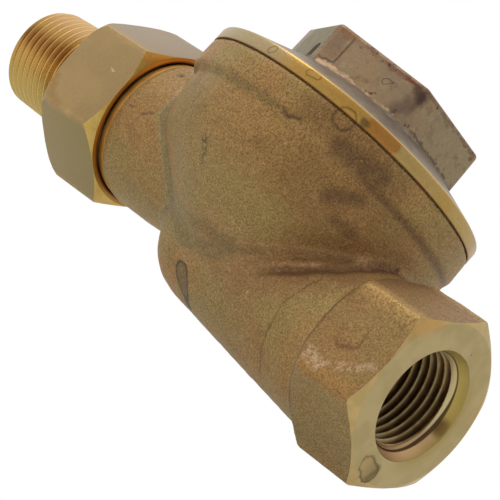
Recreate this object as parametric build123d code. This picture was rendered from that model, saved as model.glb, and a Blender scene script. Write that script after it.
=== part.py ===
from build123d import *
import math
import os

# Bronze thermostatic steam trap with a built-in strainer screen, half inch pipe size.
# Millimetres. The origin is the centre of the outlet face, +X runs out of the outlet
# along the pipe, and +Z runs up through the screwed cap.

# Clearances
running_gap = 0.3  # between pieces that turn or slide past each other
fit_gap = 0.05  # between fixed pieces that slip together
bearing_gap = 0.1  # between faces that bear on each other as they turn

# Threads: all are fourteen to the inch, the two pipe ends are tapered
thread_pitch = 1.814
thread_depth = 0.7  # union and cap threads
pipe_thread_depth = 1.2
pipe_taper = 1 / 32  # growth of the radius along the pipe thread
thread_crest = 0.28  # width of a crest, as a share of the pitch

# Outlet end
outlet_flats = 31.8
outlet_length = 16.0
outlet_face_radius = 15.8
outlet_face_bevel = 1.5
outlet_back_bevel = 1.8
outlet_edge_round = 1.0
outlet_thread_radius = 9.2
outlet_mouth_radius = 10.5
outlet_thread_turns = 7

# Bonnet: the round middle of the body, on the vertical axis of the cap
bonnet_distance = 50.6  # from the outlet face
body_top_cover = 0.65  # of the body's top over the neck
flange_radius = 30.9
flange_depth = 6.15
flange_lip = 1.1
flange_round = 0.9
bowl_wall = 3.3
dome_shoulder = 13.0  # height where the side turns into the cone
dome_shoulder_round = 5.0
dome_slope = 1.11  # growth of the radius with the height
dome_bottom = -2.5
bowl_floor = 6.5

# Passage under the bowl, which leads to the outlet
passage_radius = 15.7
passage_end_radius = 12.54
passage_end_offset = 5.0  # of its round end, past the bonnet axis
passage_end_height = 2.24
channel_radius = 8.6
channel_end_radius = 5.3
channel_end_height = -2.15

# Inlet neck and its union end
inlet_height = 13.05
neck_radius = 15.15
neck_length = 36.3  # from the bonnet axis to the shoulder behind the thread
neck_bevel = 0.9
neck_bevel_depth = 0.55
inlet_bore = 8.0
union_thread_length = 10.0
union_seat_radius = 11.0
union_seat_depth = 5.0
union_seat_slope = 0.48

# Union nut
nut_flats = 31.7
nut_wall = 1.95  # from the crest of the union thread to a flat
nut_length = 16.5
nut_setback = 0.8  # from the shoulder of the neck
nut_turned = 92.6  # angle of a corner, degrees from +Y towards +Z
nut_bevel = 1.5
nut_face_inset = 0.25  # of the front face, inside the flats
nut_back_bevel = 2.7
nut_back_outset = 0.15  # of the back face, past the flats
nut_back_swell = 0.5  # of the domed bevel at the back
nut_lip = 1.9
nut_mouth_depth = 1.2
nut_relief_length = 2.2
nut_edge_round = 0.35

# Tailpiece
tail_length = 20.7  # of the part that stands out behind the nut
tail_end_radius = 10.36
tail_bore = 7.6
tail_thread_turns = 10
tail_thread_gap = 0.9  # from the nut to the first thread
tail_end_bevel = 0.8
collar_play = 0.6  # inside the union thread

# Cap
gasket_thickness = 0.3
gasket_setback = 0.5
gasket_width = 2.4
cap_rim_height = 2.7
cap_rim_round = 0.7
cap_cone_height = 5.25  # up to the flats of the head, whose corners run down into the cone
cap_flats = 35.8
cap_hex_height = 7.5
cap_hex_root = 2.6  # depth of the corners below the top of the cone
cap_hex_draft = 1.64
cap_hex_turned = 22.4
cap_hex_round = 1.2
cap_top_round = 0.8
cap_thread_length = 7.2
cap_thread_turns = 3
skirt_wall = 4.0
cap_roof = 4.2
cap_hollow_radius = 14.0
cap_ledge_height = 0.5  # of the screen's ledge above the rim's underside
cap_ledge_width = 1.5
boss_radius = 6.5
boss_height = 3.0

# Seat
orifice_radius = 3.6
seat_thread_radius = 6.0
seat_thread_length = 3.4
seat_flats = 17.0
seat_head_height = 3.9
seat_gasket_thickness = 0.6
seat_gasket_width = 2.2

# Strainer screen
screen_wall = 0.5
screen_ring_wall = 0.6
screen_ring_height = 1.4
screen_hole_radius = 0.8
screen_rows = 7
screen_holes_around = 24

# Thermostatic element
stroke = 2.3
bellows_radius = 12.5
bellows_root_radius = 9.6
bellows_wall = 0.3
bellows_folds = 6
plate_thickness = 1.6
plate_radius = 12.0
stud_radius = 3.0
stud_flange_radius = 4.5
stud_flange_height = 0.8
lock_nut_flats = 11.0
lock_nut_height = 2.0
lock_washer_thickness = 0.4
lock_washer_radius = 5.4
stop_radius = 3.5
plug_radius = 1.2
plug_offset = 8.0
plug_height = 2.4
stem_radius = 2.0
stem_flange_radius = 4.0
stem_flange_height = 0.8
head_radius = 5.0
head_tip_radius = 1.8
head_rim_height = 0.9
head_nut_flats = 8.0
head_nut_height = 1.8
closed_gap = 0.1  # between the closed head and its seat

# Places along the pipe
bonnet_x = -bonnet_distance
shoulder_x = bonnet_x - neck_length
union_end_x = shoulder_x - union_thread_length
nut_front_x = shoulder_x - nut_setback
nut_back_x = nut_front_x - nut_length
tail_end_x = nut_back_x - tail_length
collar_back_x = nut_back_x + nut_lip + bearing_gap
collar_front_x = union_end_x - running_gap
tail_thread_x = nut_back_x - tail_thread_gap

# Radii that follow from their neighbours
union_thread_radius = nut_flats / 2 - nut_wall
collar_radius = union_thread_radius - collar_play
nut_face_radius = nut_flats / 2 - nut_face_inset
nut_back_radius = nut_flats / 2 + nut_back_outset
dome_radius = flange_radius - flange_lip
bowl_radius = dome_radius - bowl_wall
bowl_cone_inset = bowl_wall * math.sqrt(1 + dome_slope**2)
bowl_floor_radius = dome_radius - (dome_shoulder - bowl_floor) * dome_slope - bowl_cone_inset
bowl_shoulder = dome_shoulder + (bowl_cone_inset - bowl_wall) / dome_slope
inlet_reach = bowl_floor_radius + 1.0
cap_thread_radius = bowl_radius + 0.8
body_thread_radius = cap_thread_radius + running_gap
nut_thread_radius = union_thread_radius + running_gap
nut_relief_radius = nut_thread_radius + thread_depth
tail_thread_radius = tail_end_radius + (tail_thread_x - tail_end_x) * pipe_taper
shank_radius = tail_thread_radius - pipe_thread_depth / 2
lip_radius = tail_thread_radius + running_gap
screen_ring_radius = bowl_floor_radius - running_gap
screen_radius = screen_ring_radius - screen_ring_wall

# Heights that follow from their neighbours
body_top = inlet_height + neck_radius + body_top_cover
cap_bottom = body_top + gasket_thickness
cap_rim_top = cap_bottom + cap_rim_height
cap_hex_bottom = cap_rim_top + cap_cone_height
cap_top = cap_hex_bottom + cap_hex_height
skirt_bottom = body_top - cap_thread_length
ledge_z = cap_bottom + cap_ledge_height
roof_z = cap_top - cap_roof
boss_z = roof_z - boss_height
lock_nut_z = boss_z - lock_washer_thickness - lock_nut_height
top_plate_z = lock_nut_z - bearing_gap - stud_flange_height - plate_thickness
seat_top = bowl_floor + seat_gasket_thickness + seat_head_height
head_seat_z = seat_top + closed_gap + stroke
head_tip_z = head_seat_z - (orifice_radius - head_tip_radius)
head_rim_z = head_tip_z + head_radius - head_tip_radius
head_nut_z = head_rim_z + head_rim_height
stem_flange_z = head_nut_z + head_nut_height + bearing_gap
bottom_plate_z = stem_flange_z + stem_flange_height
bellows_z = bottom_plate_z + plate_thickness


def turned_upright(points):
    """A solid turned about the bonnet axis from (radius, height) points."""
    profile = make_face(Plane.XZ * Polyline(*points, close=True))
    return Pos(bonnet_x, 0, 0) * revolve(profile, Axis.Z)


def turned_along(points, height=0):
    """A solid turned about a line along X from (x, radius) points."""
    profile = make_face(Plane.XZ * Polyline(*points, close=True))
    return Pos(0, 0, height) * revolve(profile, Axis.X)


def ridges(start, turns, crest, root, growth=0):
    """Points of a thread's outline: distance along it, and radius.

    The crest is the first radius met, and growth is its change per unit of length.
    """
    step = thread_pitch
    flank = (1 - 2 * thread_crest) / 2
    points = []
    for turn in range(turns):
        base = start + turn * step
        for share, radius in (
            (0, crest),
            (thread_crest, crest),
            (thread_crest + flank, root),
            (1 - flank, root),
        ):
            along = base + share * step
            points.append((along, radius + growth * (along - start)))
    end = start + turns * step
    points.append((end, crest + growth * (end - start)))
    points.append((end + thread_crest * step, crest + growth * (end - start)))
    return points


def hexagon_along(flats, start, end, turned, height=0, edge_round=0.0):
    """A six-sided bar along X, with a corner turned from +Y towards +Z."""
    plane = Plane(origin=(start, 0, height), x_dir=(0, 1, 0), z_dir=(1, 0, 0))
    bar = extrude(plane * Rot(0, 0, turned) * RegularPolygon(flats / math.sqrt(3), 6), end - start)
    return fillet(bar.edges().filter_by(Axis.X), edge_round) if edge_round else bar


def hexagon_upright(flats, bottom, height, turned=0.0):
    """A six-sided bar on the bonnet axis."""
    plane = Plane(origin=(bonnet_x, 0, bottom))
    return extrude(plane * Rot(0, 0, turned) * RegularPolygon(flats / math.sqrt(3), 6), height)


def round_ended_run(start, end, start_radius, end_radius, overrun):
    """A cone between two places in the XZ plane, with a round start, that runs on past its end."""
    reach_x = end[0] - start[0]
    reach_z = end[1] - start[1]
    reach = math.hypot(reach_x, reach_z)
    tilt = math.asin((end_radius - start_radius) / reach)
    direction = (reach_x / reach, 0, reach_z / reach)
    plane = Plane(origin=(start[0], 0, start[1]), x_dir=direction, z_dir=(0, -1, 0))
    touch = (-start_radius * math.sin(tilt), start_radius * math.cos(tilt))
    far = reach + overrun
    far_radius = touch[1] + (far - touch[0]) * math.tan(tilt)
    middle = math.pi - (math.pi / 2 - tilt) / 2
    arc = ThreePointArc(
        (-start_radius, 0),
        (start_radius * math.cos(middle), start_radius * math.sin(middle)),
        touch,
    )
    sides = Polyline(touch, (far, far_radius), (far, 0), (-start_radius, 0))
    profile = make_face(plane * (arc + sides))
    return revolve(profile, Axis((start[0], 0, start[1]), direction))


def bulged(start, end, rise):
    """An arc between two points, whose middle rises to the left of the way from start to end."""
    reach = math.dist(start, end)
    middle_x = (start[0] + end[0]) / 2 - rise * (end[1] - start[1]) / reach
    middle_y = (start[1] + end[1]) / 2 + rise * (end[0] - start[0]) / reach
    return ThreePointArc(start, (middle_x, middle_y), end)


def ring_upright(inner, outer, bottom, top):
    """A plain ring on the bonnet axis."""
    return turned_upright([(inner, bottom), (outer, bottom), (outer, top), (inner, top)])


def casting():
    """The bronze casting: domed bowl and flange, neck, passage and outlet hexagon."""
    dome_bottom_radius = dome_radius - (dome_shoulder - dome_bottom) * dome_slope
    dome = turned_upright(
        [
            (0, dome_bottom),
            (dome_bottom_radius, dome_bottom),
            (dome_radius, dome_shoulder),
            (dome_radius, body_top - flange_depth / 2),
            (0, body_top - flange_depth / 2),
        ]
    )
    shoulder = dome.edges().filter_by(GeomType.CIRCLE).sort_by(Axis.Z)
    shoulder = [e for e in shoulder if abs(e.center().Z - dome_shoulder) < 0.01]
    dome = fillet(shoulder, dome_shoulder_round)
    flange = ring_upright(0, flange_radius, body_top - flange_depth, body_top)
    flange = fillet(flange.edges().filter_by(GeomType.CIRCLE).sort_by(Axis.Z)[0], flange_round)
    passage = round_ended_run(
        (bonnet_x - passage_end_offset, passage_end_height),
        (-outlet_length, 0),
        passage_end_radius,
        passage_radius,
        outlet_length / 4,
    )
    outlet_corner = outlet_flats / math.sqrt(3)
    outlet = hexagon_along(outlet_flats, -outlet_length, 0, 90, edge_round=outlet_edge_round)
    outlet &= turned_along(
        [
            (-outlet_length, 0),
            (-outlet_length, outlet_flats / 2),
            (-outlet_length + outlet_back_bevel, outlet_corner),
            (-outlet_face_bevel, outlet_corner),
            (0, outlet_face_radius),
            (0, 0),
        ]
    )
    neck = turned_along(
        [
            (bonnet_x, 0),
            (bonnet_x, neck_radius),
            (shoulder_x + neck_bevel, neck_radius),
            (shoulder_x, neck_radius - neck_bevel_depth),
            (shoulder_x, 0),
        ],
        inlet_height,
    )
    turns = int((union_thread_length - 1.5) / thread_pitch)
    thread = ridges(union_end_x + 0.6, turns, union_thread_radius, union_thread_radius - thread_depth)
    root = union_thread_radius - thread_depth
    spigot = turned_along(
        [(union_end_x, 0), (union_end_x, root)]
        + thread
        + [(thread[-1][0] + 0.4, root), (shoulder_x + 0.5, root), (shoulder_x + 0.5, 0)],
        inlet_height,
    )
    outer = dome + flange + passage + outlet + neck + spigot

    bowl = turned_upright(
        [
            (0, bowl_floor),
            (bowl_floor_radius, bowl_floor),
            (bowl_radius, bowl_shoulder),
            (bowl_radius, skirt_bottom),
            (0, skirt_bottom),
        ]
    )
    cap_groove = body_thread_radius + thread_depth
    grooves = ridges(skirt_bottom, cap_thread_turns, body_thread_radius, cap_groove)
    cap_thread = turned_upright(
        [(0, skirt_bottom - running_gap), (body_thread_radius, skirt_bottom - running_gap)]
        + [(radius, height) for height, radius in grooves]
        + [(body_thread_radius, body_top + 1), (0, body_top + 1)]
    )
    channel = round_ended_run(
        (bonnet_x, channel_end_height),
        (-outlet_thread_turns * thread_pitch - outlet_mouth_radius + outlet_thread_radius, 0),
        channel_end_radius,
        channel_radius,
        0,
    )
    seat_hole = turned_upright(
        [
            (0, channel_end_height),
            (orifice_radius + fit_gap, channel_end_height),
            (orifice_radius + fit_gap, bowl_floor - seat_thread_length - fit_gap),
            (seat_thread_radius + fit_gap, bowl_floor - seat_thread_length - fit_gap),
            (seat_thread_radius + fit_gap, bowl_floor),
            (0, bowl_floor),
        ]
    )
    mouth = outlet_mouth_radius - outlet_thread_radius
    outlet_groove = outlet_thread_radius + pipe_thread_depth
    outlet_grooves = ridges(mouth, outlet_thread_turns, outlet_thread_radius, outlet_groove)
    outlet_grooves = [(-along, radius) for along, radius in outlet_grooves]
    outlet_bore = turned_along(
        [(1, 0), (1, outlet_mouth_radius), (0, outlet_mouth_radius)]
        + outlet_grooves
        + [(outlet_grooves[-1][0] - 1, channel_radius), (outlet_grooves[-1][0] - 1, 0)]
    )
    inlet = turned_along(
        [
            (bonnet_x - inlet_reach, 0),
            (bonnet_x - inlet_reach, inlet_bore),
            (union_end_x + union_seat_depth, inlet_bore),
            (union_end_x + union_seat_depth, union_seat_radius - union_seat_depth * union_seat_slope),
            (union_end_x, union_seat_radius),
            (union_end_x - 1, union_seat_radius),
            (union_end_x - 1, 0),
        ],
        inlet_height,
    )
    return outer - bowl - cap_thread - channel - seat_hole - outlet_bore - inlet


def outlet_room():
    """The space in front of the hexagon's back, as wide as its corners."""
    across = 2 * outlet_flats / math.sqrt(3) + running_gap
    return Pos(across / 2 - outlet_length, 0, 0) * Box(across, across, across)


def valve_body():
    """The casting up to the back of its outlet hexagon."""
    return casting() - outlet_room()


def outlet_hexagon():
    """The threaded hexagon, one with the casting."""
    return casting() & outlet_room()


def valve_seat():
    """The renewable stainless seat, screwed into the floor of the bowl."""
    head_bottom = bowl_floor + seat_gasket_thickness
    head = hexagon_upright(seat_flats, head_bottom, seat_head_height)
    head &= turned_upright(
        [
            (0, head_bottom),
            (seat_flats, head_bottom),
            (seat_flats, seat_top - 1.6),
            (seat_flats / 2, seat_top - 0.6),
            (orifice_radius + 1.2, seat_top),
            (0, seat_top),
        ]
    )
    shank = ring_upright(0, seat_thread_radius, bowl_floor - seat_thread_length, head_bottom)
    return head + shank - ring_upright(0, orifice_radius, bowl_floor - 2 * seat_thread_length, seat_top + 1)


def seat_gasket():
    """The copper washer under the head of the seat."""
    inner = seat_thread_radius + fit_gap
    return ring_upright(inner, inner + seat_gasket_width, bowl_floor, bowl_floor + seat_gasket_thickness)


def strainer_screen():
    """The perforated cylinder that keeps dirt off the seat."""
    bottom = bowl_floor + fit_gap
    top = ledge_z - running_gap - fit_gap
    screen = ring_upright(screen_radius - screen_wall, screen_radius, bottom, top)
    first = bottom + screen_ring_height
    spacing = (top - bottom - 2 * screen_ring_height) / screen_rows
    holes = []
    for row in range(screen_rows):
        height = first + (row + 0.5) * spacing
        for place in range(screen_holes_around):
            angle = (place + 0.5 * (row % 2)) * 360 / screen_holes_around
            holes.append(
                Pos(bonnet_x, 0, height)
                * Rot(0, 0, angle)
                * Pos(screen_radius, 0, 0)
                * Rot(0, 90, 0)
                * Cylinder(screen_hole_radius, 4 * screen_wall)
            )
    return screen - holes


def screen_bottom_ring():
    """The ring soldered round the foot of the screen."""
    return ring_upright(screen_radius, screen_ring_radius, bowl_floor, bowl_floor + screen_ring_height)


def screen_top_ring():
    """The ring soldered round the top of the screen, under the ledge of the cap."""
    top = ledge_z - running_gap
    return ring_upright(screen_radius, screen_ring_radius, top - screen_ring_height, top)


def union_nut():
    """The six-sided nut that draws the tailpiece on to the neck."""
    nut = hexagon_along(nut_flats, nut_back_x, nut_front_x, nut_turned, inlet_height, nut_edge_round)
    corner = nut_flats / math.sqrt(3)
    back = (nut_back_x, nut_back_radius)
    back_corner = (nut_back_x + nut_back_bevel, corner)
    dome = bulged(back, back_corner, nut_back_swell)
    sides = Polyline(
        back_corner,
        (nut_front_x - nut_bevel, corner),
        (nut_front_x, nut_face_radius),
        (nut_front_x, 0),
        (nut_back_x, 0),
        back,
    )
    envelope = revolve(make_face(Plane.XZ * (dome + sides)), Axis.X)
    nut &= Pos(0, 0, inlet_height) * envelope
    thread_start = nut_back_x + nut_lip + nut_relief_length
    thread_room = nut_front_x - nut_mouth_depth - thread_start
    turns = int(thread_room / thread_pitch - thread_crest)
    grooves = ridges(thread_start + 0.2, turns, nut_thread_radius, nut_relief_radius)
    bore = turned_along(
        [
            (nut_back_x - 1, 0),
            (nut_back_x - 1, lip_radius),
            (nut_back_x + nut_lip, lip_radius),
            (nut_back_x + nut_lip, nut_relief_radius),
            (thread_start - 0.4, nut_relief_radius),
        ]
        + grooves
        + [
            (nut_front_x - nut_mouth_depth, nut_thread_radius),
            (nut_front_x - nut_mouth_depth + 0.3, nut_relief_radius),
            (nut_front_x + 1, nut_relief_radius),
            (nut_front_x + 1, 0),
        ],
        inlet_height,
    )
    return nut - bore


def union_tailpiece():
    """The inlet tailpiece: coned nose, collar, shank and male pipe thread."""
    seat_face = union_seat_radius - running_gap
    nose_x = union_end_x + union_seat_depth - running_gap
    nose_radius = seat_face - (nose_x - union_end_x) * union_seat_slope
    nose_root = seat_face + (union_end_x - collar_front_x) * union_seat_slope
    turns = tail_thread_turns
    thread_start = tail_thread_x - (turns + thread_crest) * thread_pitch
    crest = tail_end_radius + (thread_start - tail_end_x) * pipe_taper
    thread = ridges(thread_start, turns, crest, crest - pipe_thread_depth, pipe_taper)
    return turned_along(
        [
            (tail_end_x, tail_bore),
            (tail_end_x, crest - tail_end_bevel),
            (thread_start - 0.3, crest - 0.3),
        ]
        + thread
        + [
            (tail_thread_x + 0.4, shank_radius),
            (collar_back_x, shank_radius),
            (collar_back_x, collar_radius),
            (collar_front_x, collar_radius),
            (collar_front_x, nose_root),
            (nose_x, nose_radius),
            (nose_x, tail_bore),
        ],
        inlet_height,
    )


def cap_gasket():
    """The thin ring between the flange and the rim of the cap."""
    outer = flange_radius - gasket_setback
    return ring_upright(outer - gasket_width, outer, body_top, cap_bottom)


def cap():
    """The screwed cap: threaded skirt, rim, cone and six-sided head."""
    skirt_inner = cap_thread_radius - skirt_wall
    root = cap_thread_radius - thread_depth
    thread = ridges(skirt_bottom + 0.8, cap_thread_turns, cap_thread_radius, root)
    shell = turned_upright(
        [(0, skirt_bottom), (root, skirt_bottom)]
        + [(radius, height) for height, radius in thread]
        + [
            (root, thread[-1][0] + 0.4),
            (root, cap_bottom),
            (flange_radius, cap_bottom),
            (flange_radius, cap_rim_top),
            (cap_flats / 2 - fit_gap, cap_hex_bottom),
            (0, cap_hex_bottom),
        ]
    )
    rim = [
        e
        for e in shell.edges().filter_by(GeomType.CIRCLE)
        if abs(e.center().Z - cap_rim_top) < 0.01
    ]
    shell = fillet(rim, cap_rim_round)
    root_flats = cap_flats + 2 * cap_hex_root * math.tan(math.radians(cap_hex_draft))
    plane = Plane(origin=(bonnet_x, 0, cap_hex_bottom - cap_hex_root))
    outline = plane * Rot(0, 0, cap_hex_turned) * RegularPolygon(root_flats / math.sqrt(3), 6)
    head = extrude(outline, cap_hex_height + cap_hex_root, taper=cap_hex_draft)
    upright = [e for e in head.edges() if abs(e.center().Z - head.center().Z) < 2]
    head = fillet(upright, cap_hex_round)
    head = fillet(head.faces().sort_by(Axis.Z)[-1].edges(), cap_top_round)
    hollow = turned_upright(
        [
            (0, skirt_bottom - 1),
            (skirt_inner, skirt_bottom - 1),
            (skirt_inner, ledge_z),
            (cap_hollow_radius + cap_ledge_width, ledge_z),
            (cap_hollow_radius, ledge_z + cap_ledge_width),
            (cap_hollow_radius, roof_z),
            (0, roof_z),
        ]
    )
    boss = ring_upright(stud_radius + fit_gap, boss_radius, boss_z, roof_z + 0.5)
    return shell + head - hollow + boss


def element_stud():
    """The stud that hangs the element from the boss of the cap."""
    flange_z = top_plate_z + plate_thickness
    flange = ring_upright(0, stud_flange_radius, flange_z, flange_z + stud_flange_height)
    return flange + ring_upright(0, stud_radius, flange_z, roof_z - bearing_gap)


def element_lock_nut():
    """The thin nut that locks the stud against the boss."""
    nut = hexagon_upright(lock_nut_flats, lock_nut_z, lock_nut_height)
    return nut - ring_upright(0, stud_radius + fit_gap, lock_nut_z - 1, boss_z)


def element_lock_washer():
    """The spring washer between the lock nut and the boss."""
    washer = ring_upright(stud_radius + fit_gap, lock_washer_radius, boss_z - lock_washer_thickness, boss_z)
    slit = Pos(bonnet_x + lock_washer_radius, 0, boss_z) * Box(lock_washer_radius, 0.8, 2)
    return washer - slit


def bellows_top_plate():
    """The upper end plate of the bellows."""
    plate = ring_upright(0, plate_radius, top_plate_z, top_plate_z + plate_thickness)
    hole = Pos(bonnet_x + plug_offset, 0, top_plate_z) * Cylinder(plug_radius, 3 * plate_thickness)
    return plate - hole


def bellows():
    """The thin corrugated brass tube, soldered to its two end plates."""
    pleat = (top_plate_z - bellows_z) / bellows_folds
    outside = []
    for fold in range(bellows_folds):
        base = bellows_z + fold * pleat
        for share, radius in (
            (0, bellows_root_radius),
            (0.15, bellows_root_radius),
            (0.35, bellows_radius),
            (0.65, bellows_radius),
            (0.85, bellows_root_radius),
        ):
            outside.append((radius, base + share * pleat))
    outside.append((bellows_root_radius, top_plate_z))
    inside = [(radius - bellows_wall, height) for radius, height in reversed(outside)]
    return turned_upright(outside + inside)


def bellows_stop():
    """The rod inside the bellows that stops it from being crushed."""
    return ring_upright(0, stop_radius, bellows_z + running_gap, top_plate_z)


def fill_plug():
    """The solder plug that seals the filling hole."""
    return (
        Pos(bonnet_x + plug_offset, 0, top_plate_z + plug_height / 2)
        * Cylinder(plug_radius, plug_height)
    )


def bellows_bottom_plate():
    """The lower end plate, which moves with the valve head."""
    return ring_upright(0, plate_radius, bottom_plate_z, bottom_plate_z + plate_thickness)


def valve_stem():
    """The short stem under the lower plate."""
    flange = ring_upright(0, stem_flange_radius, stem_flange_z, bottom_plate_z)
    return flange + ring_upright(0, stem_radius, head_tip_z + head_tip_radius, stem_flange_z)


def head_lock_nut():
    """The nut that locks the valve head on the stem."""
    nut = hexagon_upright(head_nut_flats, head_nut_z, head_nut_height)
    return nut - ring_upright(0, stem_radius + fit_gap, head_nut_z - 1, stem_flange_z)


def valve_head():
    """The coned head that closes the seat."""
    head = turned_upright(
        [
            (0, head_tip_z),
            (head_tip_radius, head_tip_z),
            (head_radius, head_rim_z),
            (head_radius, head_nut_z),
            (0, head_nut_z),
        ]
    )
    return head - ring_upright(0, stem_radius + fit_gap, head_tip_z + head_tip_radius - fit_gap, stem_flange_z)


os.makedirs("parts", exist_ok=True)
pieces = (
    valve_body,
    outlet_hexagon,
    valve_seat,
    seat_gasket,
    strainer_screen,
    screen_bottom_ring,
    screen_top_ring,
    union_nut,
    union_tailpiece,
    cap_gasket,
    cap,
    element_stud,
    element_lock_nut,
    element_lock_washer,
    bellows_top_plate,
    bellows,
    bellows_stop,
    fill_plug,
    bellows_bottom_plate,
    valve_stem,
    head_lock_nut,
    valve_head,
)
for piece in pieces:
    export_step(piece(), f"parts/{piece.__name__}.step")
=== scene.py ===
import math

import bpy
from mathutils import Matrix, Vector


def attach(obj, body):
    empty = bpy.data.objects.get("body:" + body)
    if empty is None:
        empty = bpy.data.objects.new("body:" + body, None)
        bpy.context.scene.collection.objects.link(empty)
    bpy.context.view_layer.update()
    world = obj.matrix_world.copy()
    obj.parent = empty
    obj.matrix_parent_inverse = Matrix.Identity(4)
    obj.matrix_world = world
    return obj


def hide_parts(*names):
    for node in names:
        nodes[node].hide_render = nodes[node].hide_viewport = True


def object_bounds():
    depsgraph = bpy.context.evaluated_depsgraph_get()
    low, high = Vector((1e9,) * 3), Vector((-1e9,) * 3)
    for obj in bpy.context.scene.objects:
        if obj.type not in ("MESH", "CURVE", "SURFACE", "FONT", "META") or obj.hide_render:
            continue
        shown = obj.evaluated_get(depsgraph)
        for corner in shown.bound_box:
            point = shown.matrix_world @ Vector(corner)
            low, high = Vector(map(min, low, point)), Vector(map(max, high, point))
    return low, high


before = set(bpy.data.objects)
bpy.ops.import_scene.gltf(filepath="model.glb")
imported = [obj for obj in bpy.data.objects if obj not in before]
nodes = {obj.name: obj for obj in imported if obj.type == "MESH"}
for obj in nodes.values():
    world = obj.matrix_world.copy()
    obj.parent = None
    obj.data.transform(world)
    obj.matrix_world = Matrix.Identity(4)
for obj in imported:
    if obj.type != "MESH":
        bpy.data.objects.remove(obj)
cad_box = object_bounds()
mm = 0.001


# ---------------------------------------------------------------- studio
# The trap stands on a pale, half translucent floor inside a white light tent, a little
# darker where the camera looks in, with one large soft lamp above. The long lens looks up
# from low on the outlet side, rolled so that the cap leans to the right.
camera_place = Vector((207.52, -309.27, -49.90)) * mm
camera_right = Vector((0.62965, 0.40990, 0.65994))
camera_up = Vector((-0.44667, -0.50401, 0.73923))
camera_back = camera_right.cross(camera_up)
camera = bpy.data.objects.new("camera", bpy.data.cameras.new("camera"))
bpy.context.scene.collection.objects.link(camera)
turn = Matrix((camera_right, camera_up, camera_back)).transposed()
camera.matrix_world = Matrix.Translation(camera_place) @ turn.to_4x4()
camera.data.lens = 160.4
camera.data.sensor_width = 36.0
camera.data.clip_start = 0.01
bpy.context.scene.camera = camera
bpy.context.scene.view_settings.view_transform = "Standard"


class Value:
    """A shader socket that can be reckoned with like a number."""

    def __init__(self, shader, socket):
        self.shader = shader
        self.socket = socket

    def work(self, operation, first, second=0.0):
        return self.shader.node("ShaderNodeMath", {"operation": operation}, {0: first, 1: second})

    def __add__(self, other):
        return self.work("ADD", self, other)

    def __radd__(self, other):
        return self.work("ADD", other, self)

    def __sub__(self, other):
        return self.work("SUBTRACT", self, other)

    def __rsub__(self, other):
        return self.work("SUBTRACT", other, self)

    def __mul__(self, other):
        return self.work("MULTIPLY", self, other)

    def __rmul__(self, other):
        return self.work("MULTIPLY", other, self)

    def __pow__(self, other):
        return self.work("POWER", self, other)

    def __abs__(self):
        return self.work("ABSOLUTE", self)

    def most(self, other):
        return self.work("MAXIMUM", self, other)

    def least(self, other):
        return self.work("MINIMUM", self, other)

    def ramp(self, low, high, start=0.0, end=1.0):
        """Runs smoothly from start to end as the value goes from low to high."""
        sockets = {"Value": self, "From Min": low, "From Max": high, "To Min": start, "To Max": end}
        return self.shader.node("ShaderNodeMapRange", {"interpolation_type": "SMOOTHSTEP"}, sockets)

    def fall(self, low, high, start=1.0):
        """Runs smoothly from start down to nothing."""
        return self.ramp(low, high, start, 0.0)

    def near(self, place, reach):
        """One at a place, falling smoothly to nothing at a distance from it."""
        return abs(self - place).fall(0.0, reach)


class Shader:
    """The nodes of one material or of the world."""

    def __init__(self, name, tree=None):
        if tree is None:
            self.material = bpy.data.materials.new(name)
            self.material.use_nodes = True
            tree = self.material.node_tree
        self.tree = tree
        tree.nodes.clear()

    def put(self, socket, value):
        if isinstance(value, Value):
            self.tree.links.new(value.socket, socket)
        elif isinstance(value, (tuple, Vector)) and socket.type == "RGBA":
            socket.default_value = (*value, 1.0)
        else:
            socket.default_value = value

    def node(self, kind, settings, sockets, output=0):
        """Adds a node and gives one of its outputs."""
        made = self.tree.nodes.new(kind)
        for key, setting in settings.items():
            setattr(made, key, setting)
        for key, value in sockets.items():
            self.put(made.inputs[key], value)
        return Value(self, made.outputs[output]) if made.outputs else None

    def mix(self, share, first, second, blend="MIX"):
        """Mixes two colours."""
        settings = {"data_type": "RGBA", "blend_type": blend}
        return self.node("ShaderNodeMix", settings, {0: share, 6: first, 7: second}, 2)


def deselect():
    """Leaves edit mode, with nothing selected."""
    if bpy.context.object and bpy.context.object.mode != "OBJECT":
        bpy.ops.object.mode_set(mode="OBJECT")
    bpy.ops.object.select_all(action="DESELECT")


world = bpy.data.worlds.new("studio")
world.use_nodes = True
bpy.context.scene.world = world
tent = Shader("studio", world.node_tree)
rays = tent.node("ShaderNodeLightPath", {}, {}).socket.node
seen = Value(tent, rays.outputs["Is Camera Ray"]).most(Value(tent, rays.outputs["Is Transmission Ray"]))
looking = tent.node("ShaderNodeTexCoord", {}, {}, 0)


def toward(side):
    """How far the wall of the tent lies towards a side, from -1 to 1."""
    return tent.node("ShaderNodeVectorMath", {"operation": "DOT_PRODUCT"}, {0: looking, 1: side}, 1)


wall = toward(camera_back).ramp(-0.2, 1.0, 1.0, 0.62) * toward(camera_up).ramp(-1.0, 1.0, 0.86, 1.08)
strength = seen + (1 - seen) * wall
glow = tent.node("ShaderNodeBackground", {}, {"Color": (1.0, 1.0, 1.0), "Strength": strength})
tent.node("ShaderNodeOutputWorld", {}, {"Surface": glow})

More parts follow.
